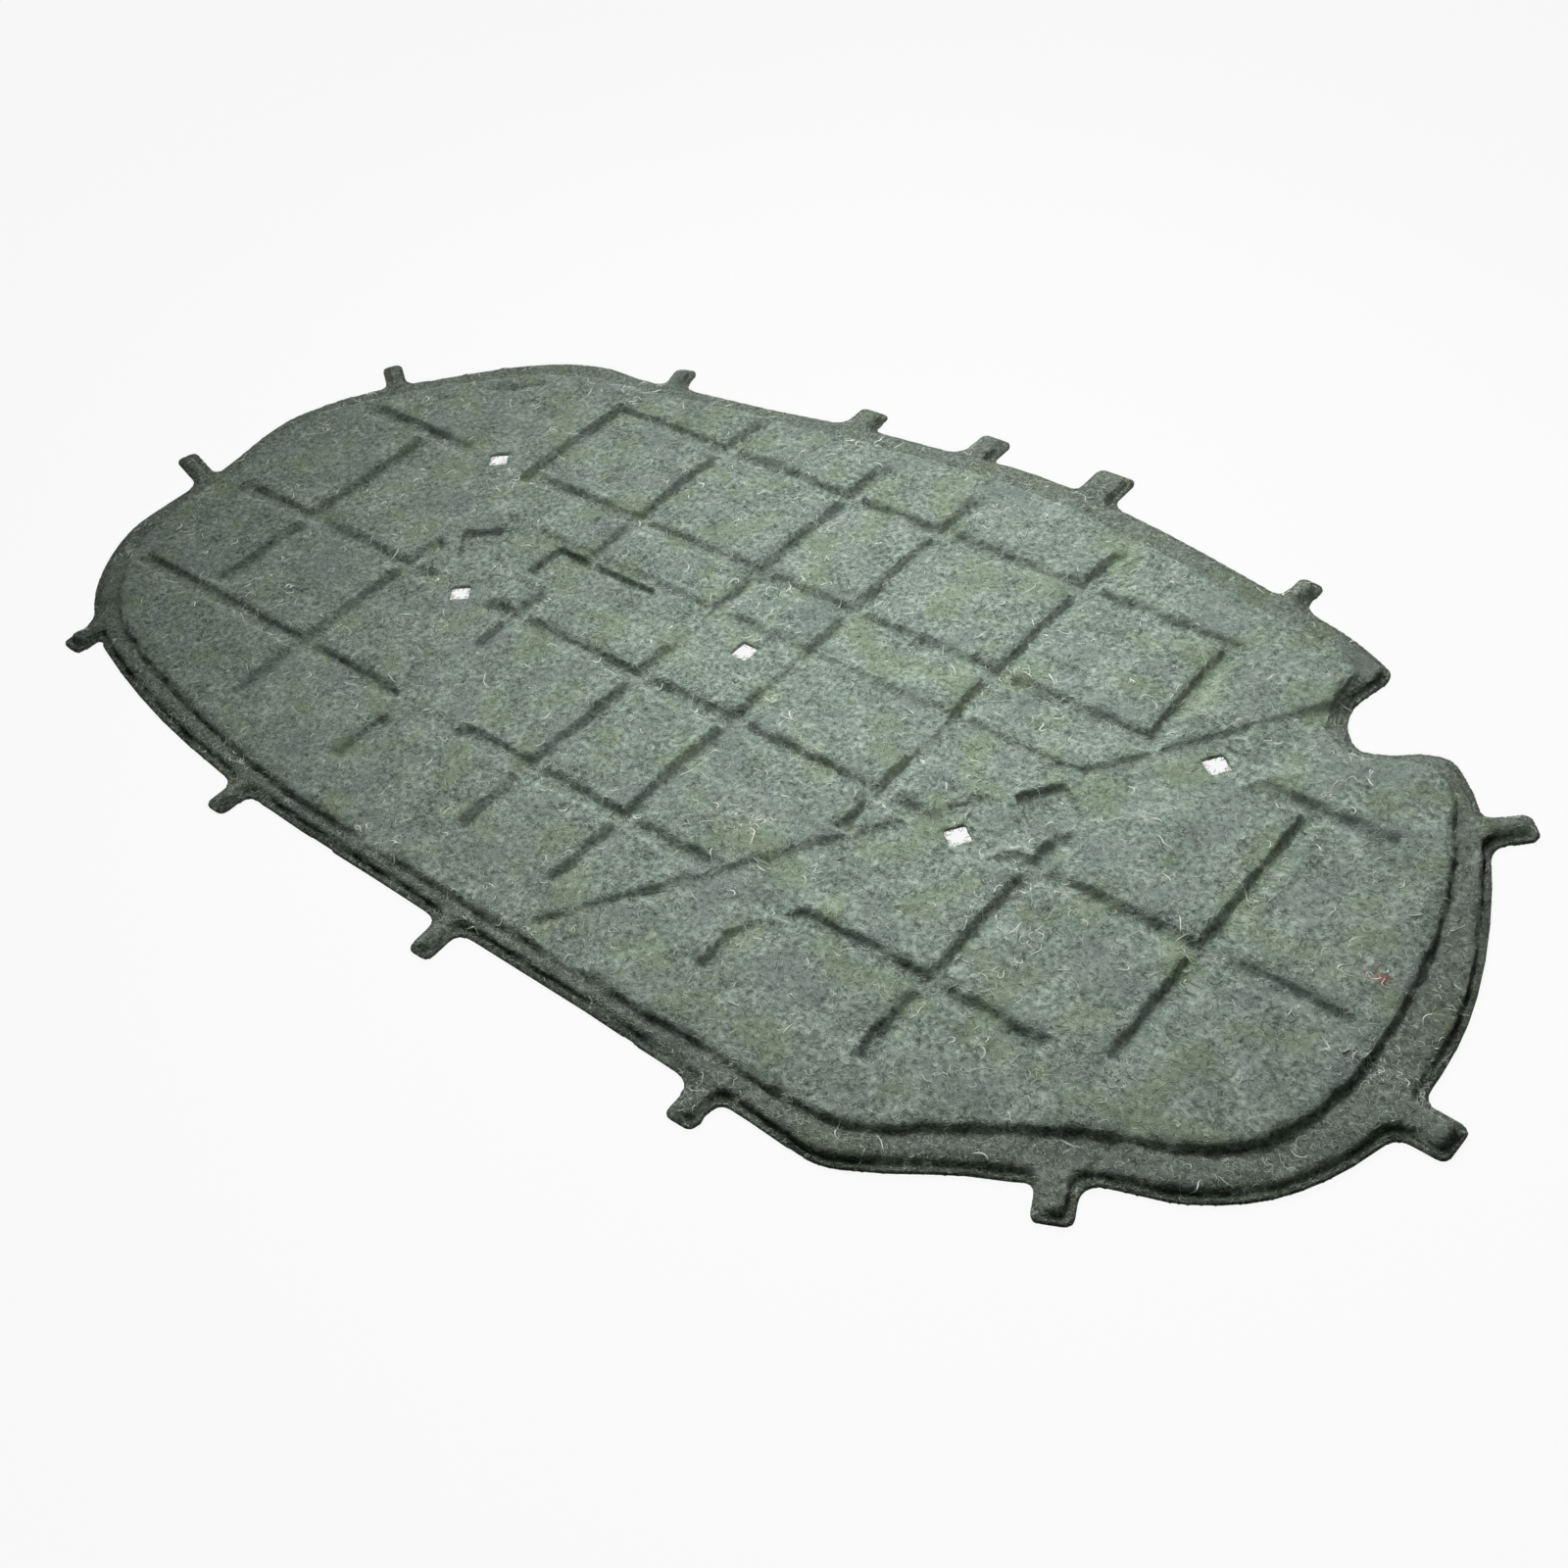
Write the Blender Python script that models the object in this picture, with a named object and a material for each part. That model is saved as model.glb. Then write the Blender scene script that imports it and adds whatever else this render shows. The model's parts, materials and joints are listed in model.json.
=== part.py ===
"""Hood insulation pad: one moulded felt panel, lying flat on its plain back.

Metres, +Z up. X runs along the pad's long side and Y towards the windscreen side of the hood.
A thin pressed rim carries the fixing tabs, a shelf stands a step above it, and a thick body
stands on the shelf. The body has shallow bands for the clips, deeper pockets and a grid of grooves.
"""

import math

import bmesh
import bpy
from mathutils import Matrix, Vector

MM = 0.001

# Thicknesses of the felt, all measured up from the flat back
RIM_THICKNESS = 3.0 * MM
SHELF_THICKNESS = 8.0 * MM
BODY_THICKNESS = 15.0 * MM
BAND_THICKNESS = 11.0 * MM
GROOVE_THICKNESS = 8.5 * MM
POCKET_THICKNESS = 5.0 * MM

# Widths and radii of the pressed steps
RIM_WIDTH = 6.5 * MM
TAB_RIM_WIDTH = 5.5 * MM
SHELF_ROUNDING = 3.0 * MM
BODY_ROUNDING = 6.0 * MM
TAB_FLARE = 11.0 * MM
TAB_TIP_RADIUS = 6.0 * MM
TAB_TIP_SHARE = 0.95

# Grooves between the raised blocks
GROOVE_WIDTH = 17.0 * MM
GROOVE_DRAFT = 4.0 * MM

# Clip bands, pockets and clip holes
BAND_WIDTH = 54.0 * MM
BAND_DRAFT = 2.0 * MM
BAND_ANGLE = math.radians(54.0)
POCKET_DRAFT = 2.5 * MM
CLIP_HOLE_SIDE = 18.0 * MM

# Thin web round each clip hole, left by a recess in the back
CLIP_WEB = 3.5 * MM
RECESS_SIDE = 44.0 * MM
RECESS_DRAFT = 3.0 * MM

# How finely the outlines are drawn
OUTLINE_STEP = 3.0 * MM
OUTLINE_TOLERANCE = 0.25 * MM
FLARE_STEPS = (0.0, 0.25, 0.5, 0.75, 1.0)
TIP_TURNS = (0.0, 30.0, 60.0, 90.0)
ROUNDING_STEPS = 1
WELD_DISTANCE = 0.02 * MM
CUTTER_OVERRUN = 4.0 * MM

# Grey-green shoddy felt
FELT_COLOUR = (0.17, 0.215, 0.19)
FELT_ROUGHNESS = 0.95

# Outer edge without its tabs, in millimetres, clockwise from the far left
OUTLINE = [
    (-568, 110), (-534, 147), (-503, 181), (-466, 215), (-426, 240), (-386, 252), (-346, 253),
    (-292, 262), (-207, 275), (-120, 292), (-27, 303), (45, 312), (95, 311), (192, 299),
    (292, 278), (371, 260), (403, 247), (419, 237), (421, 226), (417, 210), (414, 190),
    (421, 168), (437, 154), (457, 160), (475, 173), (494, 177), (514, 162), (532, 141),
    (554, 108), (579, 52), (596, -2), (603, -42), (604, -90), (597, -142), (569, -197),
    (529, -231), (477, -252), (446, -272), (411, -290), (371, -316), (336, -333), (290, -333),
    (142, -329), (-30, -329), (-207, -326), (-286, -320), (-366, -309), (-446, -291),
    (-500, -273), (-549, -241), (-582, -201), (-600, -160), (-602, -102), (-600, -54),
    (-607, -8), (-608, 28), (-597, 61),
]

# Foot of the thick body, in millimetres, clockwise from the far left
BODY = [
    (-540, 97), (-512, 130), (-480, 161), (-447, 190), (-412, 212), (-376, 225), (-336, 229),
    (-247, 244), (-150, 259), (-60, 271), (23, 278), (95, 279), (192, 269), (292, 247),
    (352, 237), (386, 231), (402, 216), (404, 192), (407, 166), (417, 149), (434, 140),
    (452, 141), (474, 152), (494, 154), (510, 141), (528, 109), (546, 63), (560, 12),
    (567, -43), (567, -100), (561, -142), (547, -174), (519, -201), (457, -230), (414, -256),
    (378, -280), (349, -301), (318, -310), (265, -312), (142, -312), (20, -313), (-207, -310),
    (-286, -300), (-366, -288), (-446, -269), (-497, -248), (-536, -216), (-560, -183),
    (-573, -146), (-576, -104), (-573, -58), (-579, -12), (-580, 20), (-571, 54),
]

# Fixing tabs: middle of the root in millimetres, heading in degrees, then the width of the raised
# core between its two rims and the whole length, both in millimetres
TABS = [
    ((-503, -271), -95, 13, 27),
    ((-602, -79), 165, 9, 52),
    ((-556, 124), 146, 8, 40),
    ((-311, 259), 107, 11, 30),
    ((-117, 292), 93, 19, 28),
    ((0, 306), 90, 19, 33),
    ((119, 308), 90, 25, 38),
    ((320, 272), 85, 11, 30),
    ((542, 127), 42, 14, 33),
    ((603, -107), -3, 19, 32),
    ((461, -263), -65, 15, 28),
    ((245, -332), -88, 13, 28),
    ((4, -330), -88, 10, 31),
    ((-237, -325), -90, 10, 27),
]

# Grooves: Y of each row with its stretches in X, then X of each column pair with its stretches in Y
ROWS = [
    (193, [(-325, 325)]),
    (75, [(-534, -396), (-318, 318), (396, 505)]),
    (-73, [(-548, -285), (-222, 222), (285, 551)]),
    (-192, [(-537, -199), (-131, 131), (199, 406)]),
]
COLUMNS = [
    (48, [(-266, 246)]),
    (186, [(-266, -212), (-116, 246)]),
    (317, [(-266, -32), (64, 201)]),
    (446, [(-179, 82)]),
]

# Clip holes on the right half and the middle one, in millimetres
BAND_CLIPS = [(254, -73), (366, 81)]
CENTRE_CLIP = (0, -3)
BAND_NEAR_END = -312
BAND_FAR_END = 176

# Pockets: middle in millimetres, then length and width
DIAGONAL_POCKET = ((290, -15), 40, 38)
CENTRE_POCKET = ((-169, -3), 114, 42)


def clear_scene():
    for old in list(bpy.data.objects):
        bpy.data.objects.remove(old, do_unlink=True)


def new_collection(name):
    made = bpy.data.collections.new(name)
    bpy.context.scene.collection.children.link(made)
    return made


def felt_material():
    felt = bpy.data.materials.new("moulded_felt")
    felt.use_nodes = True
    shader = felt.node_tree.nodes["Principled BSDF"]
    shader.inputs["Base Color"].default_value = (*FELT_COLOUR, 1.0)
    shader.inputs["Roughness"].default_value = FELT_ROUGHNESS
    shader.inputs["Metallic"].default_value = 0.0
    return felt


def smooth_loop(knots):
    """A closed centripetal curve through the knots, as points about OUTLINE_STEP apart."""
    knots = [Vector(k) * MM for k in knots]
    count = len(knots)
    loop = []
    for i in range(count):
        p0, p1, p2, p3 = (knots[(i + k) % count] for k in (-1, 0, 1, 2))
        t1 = math.sqrt((p1 - p0).length)
        t2 = t1 + math.sqrt((p2 - p1).length)
        t3 = t2 + math.sqrt((p3 - p2).length)
        pieces = max(2, round((p2 - p1).length / OUTLINE_STEP))
        for piece in range(pieces):
            t = t1 + (t2 - t1) * piece / pieces
            a1 = p0.lerp(p1, t / t1)
            a2 = p1.lerp(p2, (t - t1) / (t2 - t1))
            a3 = p2.lerp(p3, (t - t2) / (t3 - t2))
            b1 = a1.lerp(a2, t / t2)
            b2 = a2.lerp(a3, (t - t1) / (t3 - t1))
            loop.append(b1.lerp(b2, (t - t1) / (t2 - t1)))
    return loop


def inset_loop(loop, distance):
    """The clockwise loop moved inwards, to its right, by a distance."""
    count = len(loop)
    moved = []
    for i, point in enumerate(loop):
        along = (loop[(i + 1) % count] - loop[i - 1]).normalized()
        moved.append(point + Vector((along.y, -along.x)) * distance)
    return moved


def thinned(loop, tolerance):
    """The loop without the points that lie within the tolerance of the line between their neighbours."""
    kept = [loop[0]]
    i = 0
    while i < len(loop) - 1:
        j = i + 1
        while j + 1 < len(loop):
            chord = loop[j + 1] - loop[i]
            away = max(abs(chord.cross(loop[k] - loop[i])) / chord.length for k in range(i + 1, j + 1))
            if away > tolerance:
                break
            j += 1
        kept.append(loop[j])
        i = j
    return kept


def tab_profile(root, heading, width, length, start, end):
    """Points of a tab from the outline at start round its tip and back to the outline at end."""
    out = Vector((math.cos(heading), math.sin(heading)))
    side = Vector((-out.y, out.x))
    half = width / 2
    tip = min(TAB_TIP_RADIUS, TAB_TIP_SHARE * half)
    flare = min(TAB_FLARE, length - tip)
    points = []
    for sign, outline_point in ((1, start), (-1, end)):
        foot = root + side * half * sign
        shoulder = foot + out * flare
        flank = [
            outline_point.lerp(foot, t).lerp(foot.lerp(shoulder, t), t)
            for t in FLARE_STEPS
        ]
        centre = root + out * (length - tip) + side * (half - tip) * sign
        for turn in map(math.radians, TIP_TURNS):
            flank.append(centre + side * sign * tip * math.cos(turn) + out * tip * math.sin(turn))
        points.append(flank)
    return points[0] + points[1][::-1]


def tabbed_loop(inset, tab_inset):
    """The outline moved in by inset, with every tab moved in by tab_inset all round.

    A tab is as wide as its core and a rim on each side.
    """
    loop = smooth_loop(OUTLINE)
    loop = inset_loop(loop, inset) if inset else loop
    count = len(loop)
    swaps = {}
    for root, heading, width, length in TABS:
        width = width * MM + 2 * (TAB_RIM_WIDTH - tab_inset)
        length = length * MM + inset - tab_inset
        heading = math.radians(heading)
        out = Vector((math.cos(heading), math.sin(heading)))
        root = Vector(root) * MM - out * inset
        nearest = min(range(count), key=lambda k: (loop[k] - root).length)
        reach = width / 2 + TAB_FLARE
        first = last = nearest
        while (loop[first] - loop[nearest]).length < reach:
            first = (first - 1) % count
        while (loop[last] - loop[nearest]).length < reach:
            last = (last + 1) % count
        root = loop[nearest]
        swaps[first] = (last, tab_profile(root, heading, width, length, loop[first], loop[last]))
    start = next(k for k in range(count) if k in swaps)
    points = []
    k = start
    walked = 0
    while walked < count:
        if k in swaps:
            last, profile = swaps[k]
            points += profile
            step = (last - k) % count + 1
        else:
            points.append(loop[k])
            step = 1
        k = (k + step) % count
        walked += step
    return points


def layer(name, loop, thickness, rounding, collection):
    """A closed plate on an outline, rounded over, which reaches as far below the back as above it."""
    curve = bpy.data.curves.new(name, "CURVE")
    curve.dimensions = "2D"
    curve.fill_mode = "BOTH"
    curve.extrude = thickness - rounding
    curve.bevel_depth = rounding
    curve.bevel_resolution = ROUNDING_STEPS
    curve.offset = -rounding
    spline = curve.splines.new("POLY")
    points = thinned(loop, OUTLINE_TOLERANCE)
    spline.points.add(len(points) - 1)
    for slot, point in zip(spline.points, points):
        slot.co = (point.x, point.y, 0.0, 1.0)
    spline.use_cyclic_u = True
    guide = bpy.data.objects.new(name + "_curve", curve)
    bpy.context.scene.collection.objects.link(guide)
    bpy.context.view_layer.update()
    graph = bpy.context.evaluated_depsgraph_get()
    mesh = bpy.data.meshes.new_from_object(guide.evaluated_get(graph))
    mesh.transform(guide.matrix_world)
    bpy.data.objects.remove(guide, do_unlink=True)
    closed_up(mesh)
    made = bpy.data.objects.new(name, mesh)
    collection.objects.link(made)
    return made


def closed_up(mesh):
    shape = bmesh.new()
    shape.from_mesh(mesh)
    bmesh.ops.remove_doubles(shape, verts=shape.verts, dist=WELD_DISTANCE)
    bmesh.ops.recalc_face_normals(shape, faces=shape.faces)
    shape.to_mesh(mesh)
    shape.free()


def trough(name, middle, turn, length, width, floor, draft, collection, mouth=BODY_THICKNESS):
    """A cutter with sloping walls, which has its length and width at its mouth."""
    depth = abs(mouth - floor)
    outside = mouth + math.copysign(CUTTER_OVERRUN, mouth - floor)
    shape = bmesh.new()
    bmesh.ops.create_cube(shape, size=1.0)
    for vert in shape.verts:
        level = outside if (vert.co.z > 0) == (mouth > floor) else floor
        grown = draft * (abs(level - floor) / depth - 1)
        vert.co = Vector((
            math.copysign(length / 2 + grown, vert.co.x),
            math.copysign(width / 2 + grown, vert.co.y),
            level,
        ))
    place = Matrix.Translation((middle[0], middle[1], 0.0)) @ Matrix.Rotation(turn, 4, "Z")
    bmesh.ops.transform(shape, matrix=place, verts=shape.verts)
    mesh = bpy.data.meshes.new(name)
    shape.to_mesh(mesh)
    shape.free()
    made = bpy.data.objects.new(name, mesh)
    collection.objects.link(made)
    return made


def back_cutter(collection):
    """A slab that takes off all that lies below the flat back."""
    reach = 2 * max(abs(value) for knot in OUTLINE for value in knot) * MM
    shape = bmesh.new()
    bmesh.ops.create_cube(shape, size=1.0)
    bmesh.ops.scale(shape, vec=(2 * reach, 2 * reach, 2 * BODY_THICKNESS), verts=shape.verts)
    bmesh.ops.translate(shape, vec=(0.0, 0.0, -BODY_THICKNESS), verts=shape.verts)
    mesh = bpy.data.meshes.new("back_slab")
    shape.to_mesh(mesh)
    shape.free()
    collection.objects.link(bpy.data.objects.new("back_slab", mesh))


def groove_cutters(collection):
    for y, stretches in ROWS:
        for x0, x1 in stretches:
            middle = ((x0 + x1) / 2 * MM, y * MM)
            trough(f"row_{y}_{x0}", middle, 0.0, (x1 - x0) * MM, GROOVE_WIDTH,
                   GROOVE_THICKNESS, GROOVE_DRAFT, collection)
    for x, stretches in COLUMNS:
        for y0, y1 in stretches:
            for side in (-1, 1):
                middle = (side * x * MM, (y0 + y1) / 2 * MM)
                trough(f"column_{side * x}_{y0}", middle, math.pi / 2, (y1 - y0) * MM, GROOVE_WIDTH,
                       GROOVE_THICKNESS, GROOVE_DRAFT, collection)


def band_point(y):
    """Where the middle line of the right diagonal band crosses a given Y."""
    clip = Vector(BAND_CLIPS[0]) * MM
    return Vector((clip.x + (y - clip.y) / math.tan(BAND_ANGLE), y))


def band_cutters(collection):
    near = band_point(BAND_NEAR_END * MM)
    far = band_point(BAND_FAR_END * MM)
    middle = (near + far) / 2
    for side in (-1, 1):
        trough(f"diagonal_band_{side}", (side * middle.x, middle.y), side * BAND_ANGLE,
               (far - near).length, BAND_WIDTH, BAND_THICKNESS, BAND_DRAFT, collection)
    centre_y = CENTRE_CLIP[1] * MM
    trough("middle_band", (0.0, centre_y), 0.0,
           2 * band_point(centre_y).x, BAND_WIDTH, BAND_THICKNESS, BAND_DRAFT, collection)


def pocket_cutters(collection):
    (x, y), length, width = DIAGONAL_POCKET
    for side in (-1, 1):
        trough(f"diagonal_pocket_{side}", (side * x * MM, y * MM), side * BAND_ANGLE,
               length * MM, width * MM, POCKET_THICKNESS, POCKET_DRAFT, collection)
    (x, y), length, width = CENTRE_POCKET
    trough("centre_pocket", (x * MM, y * MM), 0.0,
           length * MM, width * MM, POCKET_THICKNESS, POCKET_DRAFT, collection)


def clip_hole(name, spot, turn, collection):
    shape = bmesh.new()
    bmesh.ops.create_cube(shape, size=1.0)
    tall = BODY_THICKNESS + 2 * CUTTER_OVERRUN
    bmesh.ops.scale(shape, vec=(CLIP_HOLE_SIDE, CLIP_HOLE_SIDE, tall), verts=shape.verts)
    middle = Vector((spot[0] * MM, spot[1] * MM, BODY_THICKNESS / 2))
    place = Matrix.Translation(middle) @ Matrix.Rotation(turn, 4, "Z")
    bmesh.ops.transform(shape, matrix=place, verts=shape.verts)
    mesh = bpy.data.meshes.new(name)
    shape.to_mesh(mesh)
    shape.free()
    collection.objects.link(bpy.data.objects.new(name, mesh))


def clip_spots():
    """Name, place and turn of every clip hole."""
    spots = [("centre", CENTRE_CLIP, 0.0)]
    for x, y in BAND_CLIPS:
        for side in (-1, 1):
            spots.append((str(side * x), (side * x, y), side * BAND_ANGLE))
    return spots


def clip_hole_cutters(collection):
    for name, spot, turn in clip_spots():
        clip_hole("clip_hole_" + name, spot, turn, collection)


def recess_cutters(collection):
    """Thins the felt round the clip holes from the back."""
    ceiling = BAND_THICKNESS - CLIP_WEB
    for name, (x, y), turn in clip_spots():
        trough("recess_" + name, (x * MM, y * MM), turn, RECESS_SIDE, RECESS_SIDE,
               ceiling, RECESS_DRAFT, collection, mouth=0.0)


def add_boolean(target, operation, collection):
    step = target.modifiers.new(operation.lower() + "_" + collection.name, "BOOLEAN")
    step.operation = operation
    step.operand_type = "COLLECTION"
    step.collection = collection
    step.solver = "EXACT"


def set_on_origin(pad, helpers):
    """Moves the pad and its helpers so that the middle of its box is over the origin."""
    bpy.context.view_layer.update()
    graph = bpy.context.evaluated_depsgraph_get()
    corners = [Vector(c) for c in pad.evaluated_get(graph).bound_box]
    middle = (Vector(map(min, *corners)) + Vector(map(max, *corners))) / 2
    frame = bpy.data.objects.new("pad_frame", None)
    bpy.context.scene.collection.objects.link(frame)
    frame.location = (-middle.x, -middle.y, 0.0)
    for piece in [pad, *helpers]:
        piece.parent = frame


def build():
    clear_scene()
    parts = new_collection("hood_insulation_pad")
    layers = new_collection("raised_layers")
    fills = {
        "back": back_cutter,
        "recesses": recess_cutters,
        "bands": band_cutters,
        "pockets": pocket_cutters,
        "grooves": groove_cutters,
        "clip_holes": clip_hole_cutters,
    }
    cutter_groups = [new_collection(name) for name in fills]
    pad = layer("insulation_pad", tabbed_loop(0.0, 0.0), RIM_THICKNESS, 0.0, parts)
    pad.data.materials.append(felt_material())
    layer("shelf_layer", tabbed_loop(RIM_WIDTH, TAB_RIM_WIDTH), SHELF_THICKNESS, SHELF_ROUNDING, layers)
    layer("body_layer", smooth_loop(BODY), BODY_THICKNESS, BODY_ROUNDING, layers)
    for group, fill in zip(cutter_groups, fills.values()):
        fill(group)
    add_boolean(pad, "UNION", layers)
    for group in cutter_groups:
        add_boolean(pad, "DIFFERENCE", group)
    helpers = [piece for group in [layers, *cutter_groups] for piece in group.objects]
    for helper in helpers:
        helper.hide_render = True
        helper.display_type = "WIRE"
    set_on_origin(pad, helpers)


build()
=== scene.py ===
"""Looks for the hood insulation pad: moulded shoddy felt, its loose fibres and a white studio.

Metres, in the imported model's frame: the pad lies on its flat back at z = 0, long side along X.
"""

import json
import math
import random

import bmesh
import bpy
import numpy as np
from mathutils import Matrix, Vector
from mathutils.bvhtree import BVHTree


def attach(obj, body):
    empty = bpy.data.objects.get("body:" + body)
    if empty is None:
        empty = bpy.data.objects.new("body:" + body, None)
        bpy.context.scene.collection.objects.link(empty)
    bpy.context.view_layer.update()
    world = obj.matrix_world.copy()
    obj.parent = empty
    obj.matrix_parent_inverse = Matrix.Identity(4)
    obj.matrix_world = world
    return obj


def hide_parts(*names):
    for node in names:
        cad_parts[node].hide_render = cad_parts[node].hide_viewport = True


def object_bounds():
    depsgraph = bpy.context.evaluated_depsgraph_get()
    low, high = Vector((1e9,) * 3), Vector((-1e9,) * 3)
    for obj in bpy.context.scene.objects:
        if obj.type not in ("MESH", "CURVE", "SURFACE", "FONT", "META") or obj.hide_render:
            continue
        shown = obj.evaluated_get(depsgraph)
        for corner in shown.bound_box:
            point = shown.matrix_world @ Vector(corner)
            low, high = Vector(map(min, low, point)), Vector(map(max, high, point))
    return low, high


MM = 0.001

# Where the photographer stood
CAMERA_SPOT = (0.8120, -0.7509, 0.9371)
CAMERA_TURN = math.radians(46.111)
CAMERA_HEIGHT = math.radians(44.316)
CAMERA_ROLL = math.radians(-9.442)
CAMERA_LENS = 42.29
CAMERA_SENSOR = 36.0

# Studio: a lamp behind the left end draws the steps, and one overhead lifts the middle
LIT_SPOT = (0.13, 0.13, 0.0)
KEY_SPOT = (-1.90, 1.45, 2.25)
KEY_SIDE = 1.1
KEY_POWER = 5.4
KEY_SPREAD = math.radians(27.0)
TOP_SPOT = (0.12, 0.10, 0.70)
TOP_SIDE = 0.4
TOP_POWER = 3.2
WORLD_LEVEL = 0.02
FLOOR_SIDE = 12.0
FLOOR_DROP = 0.3 * MM
FLOOR_COLOUR = (0.5, 0.5, 0.5)
FLOOR_GLOW_SHARE = 0.93
WHITE = (1.0, 1.0, 1.0, 1.0)

# Felt panel's mesh
CAD_WELD = 0.02 * MM
MESH_STEP = 2.2 * MM
MESH_KEPT = 0.56
BACK_TOP = 0.7 * MM
FELT_SOFTENING = 7
SOFTENING_PULL = 0.5
WEIGHT_STEPS = 20

# Lumps of the pressed side, each with its size and height, and how far the steps waver sideways
LUMPS = ((58.0 * MM, 2.6 * MM), (21.0 * MM, 3.6 * MM), (9.0 * MM, 2.2 * MM))
WAVER_SIZE = 17.0 * MM
WAVER_SHIFT = 3.0 * MM

# The felt is held to the pressed form up to the crisp height and out to the clips' reach
CRISP_HEIGHT = 3.6 * MM
LOOSE_HEIGHT = 7.0 * MM
CLIP_REACH = 13.0 * MM
CLIP_BLEND = 6.0 * MM

# Painted shade on the low rim, the shelf and the groove floors, partly harder pressed felt that is
# darker:
# heights above the back, and how strongly each is tinted
PRESSED_AND_SHADE_TINTS = (
    (3.2 * MM, 0.74), (4.7 * MM, 0.15), (5.5 * MM, 0.15), (7.6 * MM, 0.48), (8.1 * MM, 0.48),
    (8.4 * MM, 0.10), (9.5 * MM, 0.0),
)
PAD_THICKNESS = 15.0 * MM

# Felt colours, from the shaded hollows to the palest fibres
FELT_DARK = (0.048, 0.066, 0.052)
FELT_MID = (0.186, 0.240, 0.202)
FELT_LIGHT = (0.420, 0.490, 0.415)
FELT_OLIVE = (0.190, 0.250, 0.142)
FELT_GREY = (0.175, 0.212, 0.208)
# Painted shade for the low rim, shelf and groove floors, partly the colour of harder pressed felt
FELT_PRESSED_AND_SHADED = (0.062, 0.070, 0.052)
FIBRE_PALE = (0.50, 0.56, 0.48)
FIBRE_DARK = (0.040, 0.052, 0.044)

# Felt's gloss, the noises of its grain and hue, and how its flat patterns lean down the walls
FELT_ROUGHNESS = 0.95
FELT_GLOSS = 0.15
FINE_GRAIN = {"Scale": 210.0, "Detail": 3.0, "Roughness": 0.6}
BROAD_GRAIN = {"Scale": 30.0, "Detail": 2.0, "Roughness": 0.8}
HUE_CLOUDS = {"Scale": 24.0, "Detail": 4.0}
BROAD_SHARE = 0.5
GRAIN_RANGE = (0.44, 1.06)
WALL_LEAN = {"X": -0.8, "Y": 0.6}

# Patches of another hue: colour, and the noise levels at which they start and are full
HUE_PATCHES = ((FELT_OLIVE, 0.52, 0.66), (FELT_GREY, 0.48, 0.34))
PATCH_STRENGTH = 0.55

# Pressed-in fibres: colour, cell, width in cells, curl, bare share, strength and height
PRESSED_FIBRES = (
    (FIBRE_DARK, 5.0 * MM, 0.16, 5.0 * MM, 0.52, 0.55, -0.6),
    (FELT_LIGHT, 3.4 * MM, 0.15, 4.0 * MM, 0.49, 0.55, 0.5),
    (FIBRE_PALE, 6.5 * MM, 0.085, 7.0 * MM, 0.55, 0.6, 0.8),
)
FIBRE_FADE = 0.08
LAYER_SHIFT = (0.37, 0.21)

# Relief finer than the mesh: the grain's share of it and its depth
GRAIN_HEIGHT = 0.6
RELIEF_DEPTH = 0.7 * MM

# A colour Mix node's sockets, which share their names with its other kinds
MIX_SHARE = 0
MIX_BELOW = 6
MIX_OVER = 7
MIX_COLOUR = 2

# Loose fibres' gloss, and how their colour drifts between its two tones
STRAND_ROUGHNESS = 0.75
STRAND_GLOSS = 0.2
STRAND_DRIFT = {"Scale": 90.0, "Detail": 2.0}
STRAND_TONES = (0.35, 0.65)

# Loose fibres: name, how many, length range, thickness, two colours and seed
LOOSE_FIBRES = (
    ("white_hooks", 1150, (7 * MM, 18 * MM), 1.25 * MM, (0.42, 0.48, 0.38), (0.84, 0.88, 0.78), 11),
    ("pale_fibres", 4200, (4 * MM, 13 * MM), 0.75 * MM, (0.30, 0.36, 0.28), (0.52, 0.58, 0.48), 23),
    ("felt_fibres", 4000, (4 * MM, 11 * MM), 0.5 * MM, (0.15, 0.19, 0.14), (0.33, 0.40, 0.31), 29),
    ("dark_fibres", 900, (3 * MM, 8 * MM), 0.5 * MM, (0.050, 0.066, 0.054), (0.11, 0.14, 0.12), 37),
)

# Share of the fibres that lie in patches, how many patches there are, and how wide they spread
GATHERED_SHARE = 0.45
GATHERING_COUNT = 90
GATHERING_RADIUS = 13.0 * MM

# A fibre's points and corners, its curl, and the steepest wall that it may cross
FIBRE_POINTS = 7
FIBRE_CORNERS = 3
FIBRE_SHORTEST = 0.6
FIBRE_BEND = 2.2
FIBRE_WAVE = 0.8
STEEPEST_FALL = 2.2

# Height above the back from which the panel's surface is looked for
FINDING_HEIGHT = 0.1

# How a fibre floats and tapers, in shares of its layer's thickness
FIBRE_LIFT = (-0.15, 0.35)
FIBRE_STOUTNESS = (0.55, 1.1)
FIBRE_TIP = 0.35
FIBRE_WELD = 0.002 * MM

# Tufts: x, y, how many fibres, radius, and their colour family
TUFTS = (
    (564 * MM, -84 * MM, 34, 18 * MM, "white_tufts"),
    (578 * MM, -68 * MM, 24, 10 * MM, "white_tufts"),
    (588 * MM, -82 * MM, 18, 12 * MM, "white_tufts"),
    (-557 * MM, -184 * MM, 8, 3 * MM, "white_tufts"),
    (-481 * MM, -65 * MM, 8, 3 * MM, "white_tufts"),
    (553 * MM, -26 * MM, 22, 6 * MM, "red_threads"),
)
TUFT_COLOURS = {
    "white_tufts": ((0.55, 0.60, 0.55), (0.88, 0.90, 0.86)),
    "red_threads": ((0.30, 0.05, 0.06), (0.55, 0.12, 0.14)),
}
TUFT_LENGTHS = (4 * MM, 11 * MM)
TUFT_THICKNESS = 0.7 * MM

# Share of its distance from a clip hole's middle that the punched edge keeps as it springs back
LIP_SHARE = 0.91

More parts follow.
